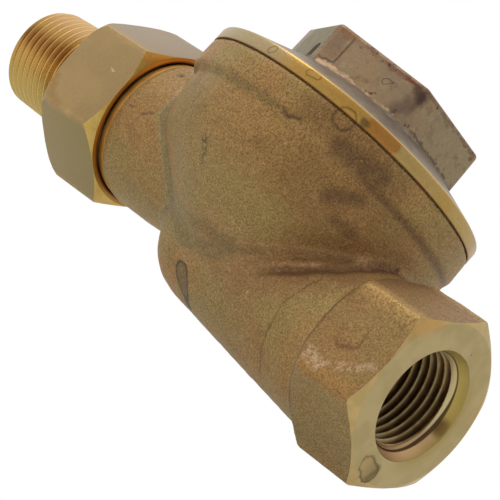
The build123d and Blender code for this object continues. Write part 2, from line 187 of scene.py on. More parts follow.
trap_middle = Vector((-0.05, 0, 0.01))
deselect()
bpy.ops.mesh.primitive_plane_add(size=3.0, location=(trap_middle.x, 0, cad_box[0].z))
floor = bpy.context.object
floor.name = "floor"
ground = Shader("pale_floor")
behind = ground.node("ShaderNodeNewGeometry", {}, {}, 6)
matt = ground.node("ShaderNodeBsdfDiffuse", {}, {"Color": (0.86, 0.86, 0.85)})
milky = ground.node("ShaderNodeBsdfTranslucent", {}, {"Color": (0.94, 0.94, 0.92)})
clear = ground.node("ShaderNodeBsdfTransparent", {}, {})
sheet = ground.node("ShaderNodeMixShader", {}, {0: 0.6, 1: matt, 2: milky})
ground_look = ground.node("ShaderNodeMixShader", {}, {0: behind, 1: sheet, 2: clear})
ground.node("ShaderNodeOutputMaterial", {}, {"Surface": ground_look})
floor.data.materials.append(ground.material)

lamp = bpy.data.lights.new("lamp", "AREA")
lamp.energy = 3.0
lamp.size = 0.5
stand = bpy.data.objects.new("lamp", lamp)
stand.location = Vector((-0.45, -0.45, 0.75))
stand.rotation_euler = (trap_middle - stand.location).to_track_quat("-Z", "Y").to_euler()
bpy.context.scene.collection.objects.link(stand)


# ---------------------------------------------------------------- cast body
# The body is one sand casting in bronze: a domed bowl, a neck towards the inlet and a
# passage that runs out under the bowl to a six-sided outlet. Its flange, seats, threads
# and outlet face are machined afterwards.
east = Vector((1, 0, 0))
up = Vector((0, 0, 1))
pitch = 1.814
bonnet = Vector((-50.6, 0, 0)) * mm
inlet = Vector((0, 0, 13.05)) * mm
outlet = Vector((0, 0, 0))
bowl_floor, floor_radius, bowl_radius = -2.5, 12.1, 29.8
flange_foot, flange_top, flange_radius = 22.5, 28.95, 30.9
neck_end, spigot_end, neck_radius = -86.9, -96.9, 15.15
spigot_crest, spigot_root = 13.9, 13.2
hexagon_back, outlet_flats = -16.0, 31.8
outlet_root, outlet_crest = 10.25, 9.2


def tone(red, green, blue):
    """A colour from its screen values, 0 to 255."""
    return tuple(((level / 255 + 0.055) / 1.055) ** 2.4 for level in (red, green, blue))


class Surface(Shader):
    """A finish laid out by place on the part, in millimetres."""

    def __init__(self, name):
        super().__init__(name)
        bare = self.node("ShaderNodeTexCoord", {}, {}, 3)
        self.place = self.vector("SCALE", bare, Scale=1000.0)
        parts = self.node("ShaderNodeSeparateXYZ", {}, {0: self.place}).socket.node
        self.x, self.y, self.z = (Value(self, output) for output in parts.outputs)
        wander = self.vector("SUBTRACT", self.clouds(1.6, 2, output=1), Vector((0.5, 0.5, 0.5)))
        self.ragged = self.vector("ADD", self.place, self.vector("SCALE", wander, Scale=1.6))

    def vector(self, operation, first, second=None, output=0, **named):
        sockets = {0: first, **named}
        if second is not None:
            sockets[1] = second
        return self.node("ShaderNodeVectorMath", {"operation": operation}, sockets, output)

    def clouds(self, size, detail=2.0, shift=0.0, output=0):
        """Blotches about as large as size, around one half."""
        where = self.vector("ADD", self.place, Vector((shift, shift, shift))) if shift else self.place
        sockets = {"Vector": where, "Scale": 1 / size, "Detail": detail}
        return self.node("ShaderNodeTexNoise", {}, sockets, output)

    def off(self, *places, ragged=True):
        """The distance to a place, or to the line that runs from place to place."""
        here = self.ragged if ragged else self.place
        if len(places) == 1:
            return self.vector("DISTANCE", here, Vector(places[0]), 1)
        nearest = None
        for start, end in zip(places, places[1:]):
            run = Vector(end) - Vector(start)
            offset = self.vector("SUBTRACT", here, Vector(start))
            share = self.vector("DOT_PRODUCT", offset, run / run.length_squared, 1).most(0.0).least(1.0)
            gap = self.vector("DISTANCE", offset, self.vector("SCALE", run, Scale=share), 1)
            nearest = gap if nearest is None else nearest.least(gap)
        return nearest

    def marks(self, *spots, ragged=True):
        """What spots cover: each is a share that fades between two distances from its places."""
        covered = None
        for share, near, far, *places in spots:
            spot = self.off(*places, ragged=ragged).fall(near, far, share)
            covered = spot if covered is None else covered.most(spot)
        return covered

    def stained(self, colour, *stains, ragged=True):
        """A colour with stains laid on in turn: a shade, then what it covers or a spot."""
        for shade, *spot in stains:
            cover = spot[0] if isinstance(spot[0], Value) else self.marks(spot, ragged=ragged)
            shade = shade if isinstance(shade, Value) else tone(*shade)
            colour = self.mix(cover, colour, shade)
        return colour

    def from_line(self, along, centre):
        """The distance to a line through a place along x or z."""
        first = self.z - centre.z / mm if along == east else self.x - centre.x / mm
        second = self.y - centre.y / mm
        return (first * first + second * second) ** 0.5

    def turning_lines(self, run, scale, **detail):
        """The fine lines of a turning tool, along a value that runs across them."""
        sockets = {"W": run, "Scale": scale, **detail}
        return self.node("ShaderNodeTexNoise", {"noise_dimensions": "1D"}, sockets)

    def scaled(self, colour, share):
        """A colour made lighter or darker by a value about one."""
        return self.vector("SCALE", colour, Scale=share)

    def finish(self, colour, roughness, metallic, height=None, relief=0.1):
        """Makes the metal itself, with a bump whose height is in parts of the relief."""
        sockets = {"Base Color": colour, "Roughness": roughness, "Metallic": metallic}
        if height is not None:
            bump = {"Strength": 1.0, "Distance": relief * mm, "Height": height}
            sockets["Normal"] = self.node("ShaderNodeBump", {}, bump)
        metal = self.node("ShaderNodeBsdfPrincipled", {}, sockets)
        self.node("ShaderNodeOutputMaterial", {}, {"Surface": metal})
        return self.material


def dried_ring(finish):
    """The distance to the middle of a ring that a drop left across the joint of body and cap."""
    return finish.off((-33.4, -25.7, 28.2), ragged=False) + (finish.clouds(1.6, 1, 6.0) - 0.5) * 0.8


def sand_cast():
    """Bronze as it left the sand, brown and olive, with grains, stains, worn edges, and painted light and
    shade.
    """
    skin = Surface("sand_cast_bronze")
    patchy = skin.clouds(2.6, 3, 5.0)
    grain = skin.clouds(0.32, 2)
    # umber is both a patchy darker tone and the colour of painted shade
    olive, russet, umber_and_shade, rose = tone(142, 122, 76), tone(149, 118, 74), (118, 86, 49), (154, 124, 90)

    # broad changes of tone over the bowl, the passage and the neck, and painted shade on the side of the bowl
    # and in the shade of the flange
    under_bowl = ((-63, -13, 3.5), (-58, -13.4, 0.9), (-50.2, -15.5, 0.5), (-43.7, -14.7, 0.9))
    colour = skin.stained(
        skin.mix(skin.clouds(15.0, 2).ramp(0.42, 0.58), olive, russet),
        ((139, 120, 76), 0.75, 4, 15, (-52, -20, 5)),
        ((142, 111, 66), 0.8, 4, 13, (-50, -29, 19), (-40, -28, 19), (-31, -23, 25)),
        ((137, 119, 76), 0.6, 5, 16, (-40, -10, -9)),
        (rose, 0.6, 1, 8, (-53, -13, -2), (-48, -16, -1), (-40, -15.5, -1)),
        ((106, 92, 60), 0.6, 0.5, 2.8, *under_bowl),
        ((132, 102, 62), 0.7, 2, 12, (-80, -13, 20), (-66, -13, 22)),
        ((118, 98, 60), 0.5, 1, 6, (-65, -25.5, 18), (-59.5, -27.5, 14.5)),
        ((136, 117, 74), 0.6, 2, 10, (-80, -10, 3), (-64, -9, 1)),
        ((136, 119, 76), 0.75, 1.5, 6.5, (-66.5, -22, 14), (-61, -21.5, 8.5), (-55, -18, 3.5)),
        ((146, 113, 70), 0.6, 3, 10, (-84, -15, 12), (-76, -15, 12)),
        ((136, 103, 68), 0.75, 1, 8, (-37, -14, -2), (-28, -14, 3), (-21.5, -11.5, 9), (-20, -7, 13)),
        # painted shade: the next two stains darken the side of the bowl below the flange and the underside of
        # the flange
        (umber_and_shade, 0.55, 1.5, 10, (-33, -23, 15), (-28, -19, 15), (-25, -14, 12), (-29, -14, 8)),
        (umber_and_shade, 0.45, 0.5, 6, (-27, -17, 22), (-22, -10, 20), (-20.5, -3, 19)),
        (umber_and_shade, 0.4, 0.8, 3.6, (-19.7, -13.5, 7.6), (-13.5, -15.9, 5.3)),
        (umber_and_shade, skin.clouds(6.0, 3, 11.0).ramp(0.53, 0.72, 0.0, 0.3)),
        (rose, patchy.ramp(0.52, 0.70, 0.0, 0.15)),
        ((136, 113, 70), 0.6, 3, 10, (-19.7, 3, 27), (-21, 8, 18)),
    )

    # where the forms meet, a duller, greyer line, darkest deep in the valleys;
    # then painted light and shade at the foot of the flange and along the fold
    valley = skin.node("ShaderNodeAttribute", {"attribute_name": "valley"}, {}, 2)
    rosy = skin.z.ramp(14.0, 19.0) * skin.x.fall(-58.0, -54.0)
    deep = valley.ramp(0.55, 1.0) * patchy.ramp(0.3, 0.6, 0.35, 0.6)
    dull = skin.mix(skin.x.ramp(-46.0, -36.0), tone(110, 100, 72), tone(98, 70, 42))
    flange_edge = skin.z.near(flange_foot, 1.4) * skin.from_line(up, bonnet).ramp(28.6, 29.4)
    colour = skin.stained(
        colour,
        ((136, 122, 84), valley.ramp(0.1, 0.5) * skin.x.fall(-56.0, -48.0, 0.7)),
        ((158, 130, 100), valley.ramp(0.05, 0.5) * rosy * 0.6),
        (dull, deep * (1 - rosy * 0.8)),
        # painted shade: a faint, patchy dark line in the corner under the flange, on the left
        ((112, 98, 62), flange_edge * skin.x.fall(-44.0, -38.0) * patchy.ramp(0.4, 0.6, 0.2, 0.7)),
        # a painted shadow on the flange's lower corner at the right, then a painted highlight on it at the
        # left
        ((88, 62, 38), flange_edge * skin.x.ramp(-29.5, -25.0) * 0.7),
        ((160, 130, 86), flange_edge * skin.x.ramp(-42.0, -36.0) * skin.x.fall(-30.0, -27.0) * 0.35),
        # painted shade in the groove of the fold, and a painted highlight on the brow above it
        ((88, 60, 38), skin.off(*fold_line).fall(0.2, 2.2, 0.65) * skin.x.ramp(-37.0, -29.0)),
        ((172, 138, 102), skin.off(*brow_line).fall(0.1, 1.4, 0.8) * skin.x.ramp(-35.0, -29.0)),
    )

    # the hexagon: a brown top and side, edges worn to a sandy gold with a painted highlight, stronger on the
    # upper edges, and a chalky streak
    on_hexagon = skin.x.ramp(-16.6, -15.9)
    rubbed_and_lit = skin.from_line(east, outlet).ramp(16.9, 17.9) * on_hexagon * grain.ramp(0.25, 0.6, 0.6, 1.0)
    chalk = skin.marks(
        (1.0, 0.5, 2.0, (-14.6, -15.9, -6.4), (-11.0, -15.9, -6.8)),
        (0.8, 0.2, 1.3, (-11.0, -15.9, -6.5), (-7.4, -15.9, -5.6), (-4.9, -15.9, -4.3), (-1.6, -15.9, -2.2)),
    )
    colour = skin.stained(
        colour,
        ((130, 99, 62), on_hexagon * skin.z.ramp(9.5, 11.0) * 0.8),
        ((136, 106, 64), on_hexagon * skin.y.fall(-15.6, -14.6) * 0.6),
        ((112, 82, 52), on_hexagon * skin.x.fall(-14.6, -11.0) * skin.z.ramp(5.0, 10.0) * 0.6),
        ((133, 116, 76), on_hexagon * skin.y.ramp(-16.2, -15.0) * skin.z.fall(-10.5, -8.5) * 0.5),
        ((152, 110, 60), 0.45, 0.6, 2.4, (-14.0, -15.9, -8.3), (-7.5, -15.9, -8.4), (-2.0, -15.9, -7.6)),
        # worn edges with a painted highlight that is stronger on the upper edges
        ((170, 140, 88), rubbed_and_lit * skin.z.ramp(-6.0, 6.0, 0.15, 0.6)),
        ((186, 162, 142), chalk * skin.clouds(0.8, 3, 9.0).ramp(0.40, 0.56) * 0.6),
    )

    # seams of the mould round the passage and behind the hexagon
    wobble = (skin.clouds(3.0, 2, 2.0) - 0.5) * 1.4
    seam = (skin.x + wobble - (skin.z + 2.0).most(0.0) * 0.35).near(-25.4, 0.42) * skin.z.fall(5.0, 9.0)
    seam = seam * skin.clouds(2.2, 2, 8.0).ramp(0.36, 0.5, 0.25, 1.0)
    back = (skin.x + wobble * 0.15).near(hexagon_back, 0.45) * skin.z.ramp(10.0, 13.0, 1.0, 0.3)
    colour = skin.stained(
        colour,
        ((84, 58, 36), seam * 0.55),
        ((80, 56, 36), back * 0.6),
    )

    # a long drip, a dried ring under the rim, and dark blots, flecks, pits and bright grains
    drop = skin.off((-52.3, -8.9, -7.2), (-51.7, -7.9, -8.2), ragged=False) - 1.9
    drop = drop.least(skin.off((-51.5, -7.3, -8.7), (-50.8, -6.0, -9.6), ragged=False) - 1.45)
    drop = drop.least(skin.off((-50.6, -5.2, -10.0), (-50.2, -3.2, -10.8), ragged=False) - 0.75)
    drop = drop + (skin.clouds(1.5, 1, 9.0) - 0.5) * 0.4
    outline = drop.near(-0.15, 0.5).most(drop.fall(-0.3, 0.0) * skin.z.fall(-10.2, -9.4))
    ring = dried_ring(skin).near(2.0, 0.6) * skin.clouds(1.2, 2, 13.0).ramp(0.3, 0.5, 0.6, 1.0)
    dark = skin.marks(
        (0.62, 0.4, 2.3, (-28.98, -20.49, 16.57), (-27.6, -18.95, 18.2), (-26.2, -17.1, 19.7)),
        (0.75, 0.1, 0.9, (-42.0, -28.9, 23.0), (-40.6, -28.5, 22.5), (-38.4, -28.0, 23.5)),
    )
    under_rim = skin.marks((0.6, 0.8, 3.2, (-31.5, -23.6, 23.8), (-28.0, -21.0, 24.3), (-25.6, -17.8, 25.0)))
    dark = dark.most(under_rim * patchy.ramp(0.35, 0.55, 0.5, 1.0))
    for spot in (
        (0.5, 0.1, 0.5, (-83.8, -15.1, 11.5), (-82.8, -15.1, 11.6)),
        (0.6, 0.1, 0.5, (-80.4, -15.0, 11.0), (-77.9, -15.1, 12.5)),
        (0.45, 0.5, 2.0, (-27.2, -17.4, 14.4), (-24.6, -14.4, 14.6)),
    ):
        dark = dark.most(skin.marks(spot))
    flecks = skin.marks((1.0, 0.4, 1.5, (-53.0, -27.0, 10.9), (-52.6, -25.6, 9.2), (-52.2, -24.4, 8.0)))
    holes = skin.marks(*((1.0, 0.15, 0.75, place) for place in pits))
    bright = skin.marks(
        (1.0, 0.15, 0.6, (-43.4, -18.2, 3.9), (-43.1, -18.0, 3.6)),
        (1.0, 0.15, 0.55, (-34.1, -13.4, -3.9), (-33.6, -13.3, -4.5)),
    )
    colour = skin.stained(
        colour,
        ((100, 86, 58), drop.fall(-0.2, 0.1, 0.65)),
        ((62, 56, 44), outline * 0.8),
        ((70, 54, 36), ring * 0.85),
        ((100, 70, 38), 0.4, 1.0, 4.5, (-38.0, -28.0, 26.0), (-31.0, -23.8, 26.0), (-23.5, -14.8, 26.2)),
        ((74, 52, 32), dark),
        ((64, 56, 42), flecks * skin.clouds(0.55, 1, 4.0).ramp(0.48, 0.56) * 0.8),
        ((46, 34, 24), holes * 0.85),
        ((190, 168, 124), bright.most(skin.clouds(0.6, 1, 7.0).ramp(0.70, 0.78, 0.0, 0.6)) * 0.5),
    )

    # the shadowed edge of the cast pad on the hexagon
    pad = skin.off(pad_place) + (skin.clouds(2.6, 1, 14.0) - 0.5) * 2.4
    lee = (skin.x - pad_place[0] - skin.z + pad_place[2]).ramp(-2.0, 2.5, 0.25, 1.0)
    colour = skin.mix(pad.near(2.7, 0.7) * lee * 0.65, colour, tone(104, 74, 52))

    # the grains of the sand, coarser under the flange
    coarse = skin.marks((1.0, 3, 12, (-50, -30, 22), (-38, -28, 21), (-29, -21, 22)), ragged=False)
    colour = skin.mix(coarse * grain.fall(0.3, 0.5) * 0.3, colour, tone(104, 72, 40))
    sunk = skin.mix(1.0, colour, (0.67, 0.585, 0.44), "MULTIPLY")
    raised = skin.mix(1.0, colour, (1.42, 1.36, 1.17), "MULTIPLY")
    crumbs = skin.clouds(1.0, 2, 3.0)
    colour = skin.scaled(skin.mix(grain.ramp(0.2, 0.8), sunk, raised), crumbs.ramp(0.25, 0.75, 0.93, 1.07))
    height = grain + crumbs - holes * 2.0
    return skin.finish(colour, grain.ramp(0.2, 0.8, 0.62, 0.5), 0.5, height, 0.07)


def faced():
    """Bronze cut on the lathe: pale faces, golden chamfers, and drips dried on them."""
    face = Surface("machined_bronze")
    off_axis = face.from_line(east, outlet)
    soft = face.clouds(5.0, 2)
    colour = face.mix(soft.ramp(0.35, 0.65), tone(166, 147, 99), tone(176, 157, 110))
    gold = face.mix(face.clouds(3.0, 2, 4.0).ramp(0.35, 0.65), tone(192, 162, 108), tone(176, 152, 98))
    colour = face.mix(off_axis.ramp(15.5, 16.0), colour, gold)
    orange = face.marks(
        (0.4, 0.2, 2.6, (-0.4, -15.0, 7.6), (-0.4, -12.0, 11.4)),
        (0.75, 0.1, 1.0, (-0.4, -11.4, 12.6), (-0.4, -9.6, 13.4)),
        (0.5, 0.1, 1.6, (-0.2, 12.6, 10.5), (-0.2, 15.3, 4.5)),
    )
    colour = face.mix(orange, colour, tone(186, 134, 60))

    # the chamfer of the mouth: pink below, then a dark patch, then ochre painted lighter towards the top,
    # inside a ring with a painted highlight, and painted shade where the thread runs out
    pink_line = ((-1, -8.5, -5.0), (-1, 0.0, -10.0), (-1, 7.5, -6.5), (-1, 9.4, -4.0))
    copper = face.marks((1.0, 2.4, 3.8, *pink_line), ragged=False)
    # painted light: the ochre is lighter towards the top, where the chamfer faces away from the lamp
    ochre = face.mix(face.z.ramp(-2.0, 7.0), tone(162, 128, 68), tone(180, 157, 88))
    mouth = face.mix(copper, ochre, tone(200, 162, 118))
    mouth = face.stained(mouth, ((88, 62, 34), 0.85, 0.8, 2.6, (-1.0, 10.2, 0.4)), ragged=False)
    # a painted highlight on the ring at the end of the thread, pinker below
    ring_highlight = face.mix(copper, tone(204, 186, 138), tone(196, 158, 116))
    mouth = face.mix(face.x.fall(-2.05, -1.9), mouth, ring_highlight)
    # painted shade: a dark line in the crease where the thread runs out
    run_out = face.z.ramp(0.0, 8.5, -2.46, -2.0) + face.z.fall(-9.0, -3.0, 0.25)
    run_out = (face.x - run_out).ramp(-0.1, 0.1) * face.x.fall(-1.9, -1.7)
    mouth = face.mix(run_out * 0.95, mouth, tone(56, 36, 18))
    colour = face.mix(1 - off_axis.ramp(10.55, 10.75), colour, mouth)
    halo = off_axis.near(11.0, 1.1) + off_axis.near(11.5, 2.4) * soft.ramp(0.4, 0.6, 0.2, 0.8)
    colour = face.mix(halo.least(1.0) * face.y.ramp(4.0, 9.0) * 0.6, colour, tone(156, 134, 66))

    # a dried blot, a faint square and a nick on the face
    blot = face.off((0, -1.3, -13.7), (0, 1.1, -14.3))
    dried = face.mix(face.y.ramp(-2.4, 1.6), tone(168, 142, 92), tone(128, 104, 58))
    square = face.vector("ABSOLUTE", face.vector("SUBTRACT", face.place, Vector((0, -4.0, -10.0))))
    sides = face.node("ShaderNodeSeparateXYZ", {}, {0: square}).socket.node
    wide, high = Value(face, sides.outputs[1]), Value(face, sides.outputs[2])
    colour = face.stained(
        colour,
        (dried, blot.fall(1.5, 1.9, 0.7)),
        ((96, 78, 44), blot.near(1.7, 0.42) * face.y.ramp(-2.5, 1.5, 0.65, 0.9)),
        ((92, 74, 42), 0.6, 0.2, 1.1, (0, 2.0, -12.8), (0, 1.6, -15.2)),
        ((128, 114, 72), (wide * 1.6).most(high * 0.75).near(0.75, 0.16) * 0.4),
        ((90, 80, 50), 0.6, 0.1, 0.35, (0, 1.0, 11.9)),
    )
    fine = face.turning_lines(off_axis, 9.0, Detail=2.0)
    colour = face.scaled(colour, fine.ramp(0.2, 0.8, 0.97, 1.03))
    return face.finish(colour, fine.ramp(0.2, 0.8, 0.36, 0.46), 0.85, fine, 0.006)


def tapped():
    """Bronze left by the tap: crests with a painted highlight and roots darkened by painted shade."""
    tap = Surface("tapped_bronze")
    depth = tap.from_line(east, outlet)
    root = tap.mix(tap.clouds(3.0, 2).ramp(0.35, 0.65), tone(116, 84, 52), tone(144, 106, 66))
    crest = tap.mix(tap.clouds(2.0, 2, 3.0).ramp(0.4, 0.6), tone(168, 156, 112), tone(150, 132, 86))
    # painted light: lighter crests, darker roots
    colour = tap.mix(depth.ramp(outlet_crest, 9.75), crest, root)
    return tap.finish(colour, 0.38, 0.85, tap.clouds(0.4, 2), 0.01)


def bored(name, light, dark):
    """Bronze cut on the lathe and left to brown."""
    bore = Surface(name)
    brown = bore.mix(bore.clouds(4.0, 3).ramp(0.35, 0.65), light, dark)
    rings = bore.turning_lines(bore.z + bore.x, 4.0)
    return bore.finish(bore.scaled(brown, rings.ramp(0.2, 0.8, 0.93, 1.07)), 0.42, 0.85, rings, 0.01)


def arc(centre, radius, start, end, points=6):
    """Points of an arc between two angles in degrees."""
    turns = [math.radians(start + (end - start) * n / (points - 1)) for n in range(points)]
    return [(centre[0] + radius * math.cos(a), centre[1] + radius * math.sin(a)) for a in turns]


def pick(piece):
    """Leaves only this piece selected."""
    deselect()
    piece.select_set(True)
    bpy.context.view_layer.objects.active = piece


def settle(piece, name):
    """Names a piece and puts its place in its mesh."""
    pick(piece)
    piece.name = name
    bpy.ops.object.transform_apply(location=True, rotation=True, scale=True)
    return piece


def modify(piece, kind, **settings):
    """Adds a modifier and applies it."""
    pick(piece)
    modifier = piece.modifiers.new(kind, kind)
    for key, value in settings.items():
        setattr(modifier, key, value)
    bpy.ops.object.modifier_apply(modifier=modifier.name)


def coat(piece, material):
    """Gives a whole piece one finish."""
    piece.data.materials.clear()
    piece.data.materials.append(material)


def tidy_mesh():
    """Merges what coincides, turns the faces outwards and leaves edit mode."""
    bpy.ops.mesh.select_all(action="SELECT")
    bpy.ops.mesh.remove_doubles(threshold=0.002 * mm)
    bpy.ops.mesh.select_all(action="SELECT")
    bpy.ops.mesh.normals_make_consistent(inside=False)
    bpy.ops.object.mode_set(mode="OBJECT")


def drawn(name, points):
    """A line drawn from point to point, left in edit mode."""
    deselect()
    bpy.ops.mesh.primitive_plane_add(size=1 * mm, location=points[0])
    bpy.context.object.name = name
    bpy.ops.object.mode_set(mode="EDIT")
    bpy.ops.mesh.select_all(action="SELECT")
    bpy.ops.mesh.merge(type="CENTER")
    for here, there in zip(points, points[1:]):
        bpy.ops.mesh.extrude_region_move(TRANSFORM_OT_translate={"value": there - here})
    return bpy.context.object


def turned(name, outline, start=outlet, along=east, steps=128):
    """A solid turned about a line, from points of distance along it and radius."""
    side = Vector((0, 1, 0))
    piece = drawn(name, [start + along * (step * mm) + side * (radius * mm) for step, radius in outline])
    bpy.ops.mesh.select_all(action="SELECT")
    bpy.ops.mesh.spin(steps=steps, angle=2 * math.pi, center=start, axis=along)
    tidy_mesh()
    return settle(piece, name)


def threaded(name, first, last, crest, root, start=outlet, along=east, growth=0.0, steps=64):
    """A rod with a screw thread between two distances along a line."""
    turns = int((last - first) / pitch) + 4
    begin = math.floor(first / pitch) * pitch - pitch
    outline = [(0, root), (0.07, root), (0.43, crest), (0.57, crest), (0.93, root), (1, root)]
    piece = drawn(name, [Vector((radius * mm, 0, share * pitch * mm)) for share, radius in outline])
    bpy.ops.object.mode_set(mode="OBJECT")
    settle(piece, name)
    modify(
        piece,
        "SCREW",
        axis="Z",
        angle=2 * math.pi,
        screw_offset=pitch * mm,
        iterations=turns,
        steps=steps,
        render_steps=steps,
        use_merge_vertices=True,
        merge_threshold=0.002 * mm,
    )
    for vertex in piece.data.vertices:
        vertex.co.z += begin * mm
        share = 1 + growth * (vertex.co.z / mm - first) / crest
        vertex.co.x *= share
        vertex.co.y *= share
    pick(piece)
    bpy.ops.object.mode_set(mode="EDIT")
    for place, facing in ((first, -1), (last, 1)):
        bpy.ops.mesh.select_all(action="SELECT")
        bpy.ops.mesh.bisect(
            plane_co=(0, 0, place * mm),
            plane_no=(0, 0, facing),
            use_fill=True,
            clear_outer=True,
            threshold=0.004 * mm,
        )
    tidy_mesh()
    piece.rotation_euler = up.rotation_difference(along).to_euler()
    piece.location = start
    return settle(piece, name)


def bevelled(piece, width, segments, degrees):
    """Rounds the edges that are sharper than an angle."""
    angle = math.radians(degrees)
    modify(piece, "BEVEL", width=width * mm, segments=segments, limit_method="ANGLE", angle_limit=angle)


def smoothed(piece, degrees=30):
    """Shades a piece smooth, apart from the edges that are sharper than an angle."""
    pick(piece)
    bpy.ops.object.shade_smooth_by_angle(angle=math.radians(degrees))


def join(pieces):
    """Makes one object of several, which keeps the name of the first."""
    pick(pieces[0])
    for piece in pieces:
        piece.select_set(True)
    bpy.ops.object.join()
    return pieces[0]


def work(piece, tool, finish=None, operation="DIFFERENCE"):
    """Cuts a tool's shape out of a piece, or adds it, and leaves the tool's finish."""
    if finish:
        coat(tool, finish)
    settings = {"object": tool, "operation": operation, "solver": "MANIFOLD", "material_mode": "TRANSFER"}
    modify(piece, "BOOLEAN", **settings)
    bpy.data.objects.remove(tool)


def six_sided(name, flats, first, last, start, along, corner):
    """A six-sided bar along a line, with a corner at an angle in degrees."""
    deselect()
    middle = start + along * ((first + last) / 2 * mm)
    bpy.ops.mesh.primitive_cylinder_add(
        vertices=6, radius=flats / math.sqrt(3) * mm, depth=(last - first) * mm
    )
    piece = bpy.context.object
    lie = Matrix((Vector((0, 1, 0)), along.cross(Vector((0, 1, 0))), along)).transposed()
    turn = Matrix.Rotation(math.radians(corner - 90), 3, "Z")
    piece.matrix_world = Matrix.Translation(middle) @ (lie @ turn).to_4x4()
    return settle(piece, name)


def weigh(piece, name, share):
    """Weighs the points of a piece by a rule of their place in millimetres."""
    group = piece.vertex_groups.new(name=name)
    for vertex in piece.data.vertices:
        amount = share(vertex.co / mm)
        if amount > 0.005:
            group.add([vertex.index], min(amount, 1.0), "REPLACE")
    return name


def fade(value, near, far):
    """One up to the near value, falling smoothly to nothing at the far one."""
    share = min(max((far - value) / (far - near), 0.0), 1.0)
    return share * share * (3 - 2 * share)


def off_track(place, places):
    """The distance of a place to a line that runs from place to place."""
    nearest = math.inf
    for start, end in zip(places, places[1:]):
        start, run = Vector(start), Vector(end) - Vector(start)
        share = min(max((place - start).dot(run) / run.length_squared, 0.0), 1.0)
        nearest = min(nearest, (place - start - run * share).length)
    return nearest


# the pattern: bowl, flange, passage, neck and hexagon, run together and softened
bowl_middle = Vector((-49.8, 0, 0))
bowl_line = [(bowl_floor, 0), (bowl_floor, floor_radius), (10.0, 26.0), (12.4, 28.2), (15.6, 29.4)]
bowl_line += [(19.0, bowl_radius), (26.0, bowl_radius), (26.0, 0)]
cast_body = turned("cast_body", bowl_line, bowl_middle * mm, up)
flange_line = [(flange_foot, 0), (flange_foot, bowl_radius), (flange_foot + 1.2, flange_radius)]
flange_line += [(flange_top, flange_radius), (flange_top, 0)]
flange = turned("flange", flange_line, bonnet, up)
passage_start = Vector((-55.6, 0, 2.24))
passage_run = Vector((hexagon_back, 0, 0)) - passage_start
passage_radius = 12.54
passage_growth = 15.7 - passage_radius
tilt = math.asin(passage_growth / passage_run.length)
ball = arc((0, 0), passage_radius, 180, 90 + math.degrees(tilt), 14)
far = passage_run.length + 4.0
far_radius = ball[-1][1] + (far - ball[-1][0]) * math.tan(tilt)
passage_line = ball + [(far, far_radius), (far, 0)]
passage = turned("passage", passage_line, passage_start * mm, passage_run.normalized())
neck = turned("neck", [(-99.0, 0), (-99.0, neck_radius), (-50.6, neck_radius), (-50.6, 0)], inlet)
hexagon = six_sided("hexagon", outlet_flats, hexagon_back, 1.0, outlet, east, 90)
envelope = [(hexagon_back, 0), (hexagon_back, outlet_flats / 2), (-14.2, 18.4), (1, 18.4), (1, 0)]
work(hexagon, turned("envelope", envelope), operation="INTERSECT")
bevelled(hexagon, 0.8, 3, 25)
cast_body = join([cast_body, flange, passage, neck, hexagon])
modify(cast_body, "REMESH", mode="VOXEL", voxel_size=0.5 * mm)


def valley_depth(place):
    """The distance from a place on the body to the second nearest of its three forms."""
    across = math.hypot(place.x - bowl_middle.x, place.y)
    slope = ((across - floor_radius) * 12.5 - (place.z - bowl_floor) * 13.9) / 18.7
    offset = place - passage_start
    share = max(offset.dot(passage_run) / passage_run.length_squared, 0.0)
    tube = (offset - passage_run * share).length - passage_radius - passage_growth * share
    gaps = [abs(max(slope, across - bowl_radius, bowl_floor - place.z)), abs(tube)]
    if place.x <= bonnet.x / mm:
        gaps.append(abs(math.hypot(place.y, place.z - inlet.z / mm) - neck_radius))
    return sorted(gaps)[1]


def pressed(group, depth, share):
    """Moves the body's skin outwards by a depth in millimetres, where a rule of place says."""
    group = weigh(cast_body, group, share)
    modify(cast_body, "DISPLACE", strength=depth * mm, mid_level=0.0, vertex_group=group)


fold_line = [(-39.3, -13.5, -2.1), (-34.4, -14.2, 0.4), (-27.8, -14.3, 4.4), (-22.5, -12.7, 8.7)]
fold_line += [(-20.1, -9.5, 12.3), (-20.7, -3.6, 15.4)]
brow_line = [(-35.6, -14.6, 1.5), (-29.0, -14.6, 5.6), (-23.6, -13.3, 10.2), (-21.1, -9.3, 14.0)]
pits = [(-19.24, -7.68, 13.58), (-20.84, -3.14, 15.88), (-20.91, -2.49, 17.21)]
pits += [(-20.84, -1.28, 18.08), (-20.85, 1.6, 17.87), (-82.26, -12.07, 22.19)]
pad_place = (-9.3, -outlet_flats / 2, 0.4)

fillets = weigh(cast_body, "fillets", lambda place: fade(valley_depth(place), 1.2, 5.5))
modify(cast_body, "SMOOTH", factor=0.5, iterations=70, vertex_group=fillets)
modify(cast_body, "SMOOTH", factor=0.5, iterations=3)
pressed("groove", -0.45, lambda place: fade(off_track(place, fold_line), 0.0, 1.6) * fade(-place.x, 31, 38))
pressed("brow", 0.3, lambda place: fade(off_track(place, brow_line), 0.0, 1.6) * fade(-place.x, 30, 36))
pressed("pits", -0.5, lambda place: max(fade((place - Vector(pit)).length, 0.1, 0.9) for pit in pits))
pressed("pad", 0.22, lambda place: fade((place - Vector(pad_place)).length, 2.0, 3.2))
lumpy = weigh(
    cast_body, "skin", lambda place: 0.25 + 0.75 * fade(abs(place.y), 28.0, 30.5) * fade(-place.z, 14.0, 18.0)
)
for size, depth in ((7.0, 0.30), (1.7, 0.14)):
    lumps = bpy.data.textures.new("lumps", "CLOUDS")
    lumps.noise_scale = size * mm
    modify(cast_body, "DISPLACE", strength=depth * mm, mid_level=0.5, texture=lumps, vertex_group=lumpy)

cast_bronze, machined_bronze, tapped_bronze = sand_cast(), faced(), tapped()
bored_bronze = bored("bored_bronze", tone(128, 102, 62), tone(150, 124, 76))
gilt_bronze = bored("gilt_bronze", tone(226, 176, 92), tone(206, 152, 72))
coat(cast_body, cast_bronze)
cast_body.vertex_groups.clear()

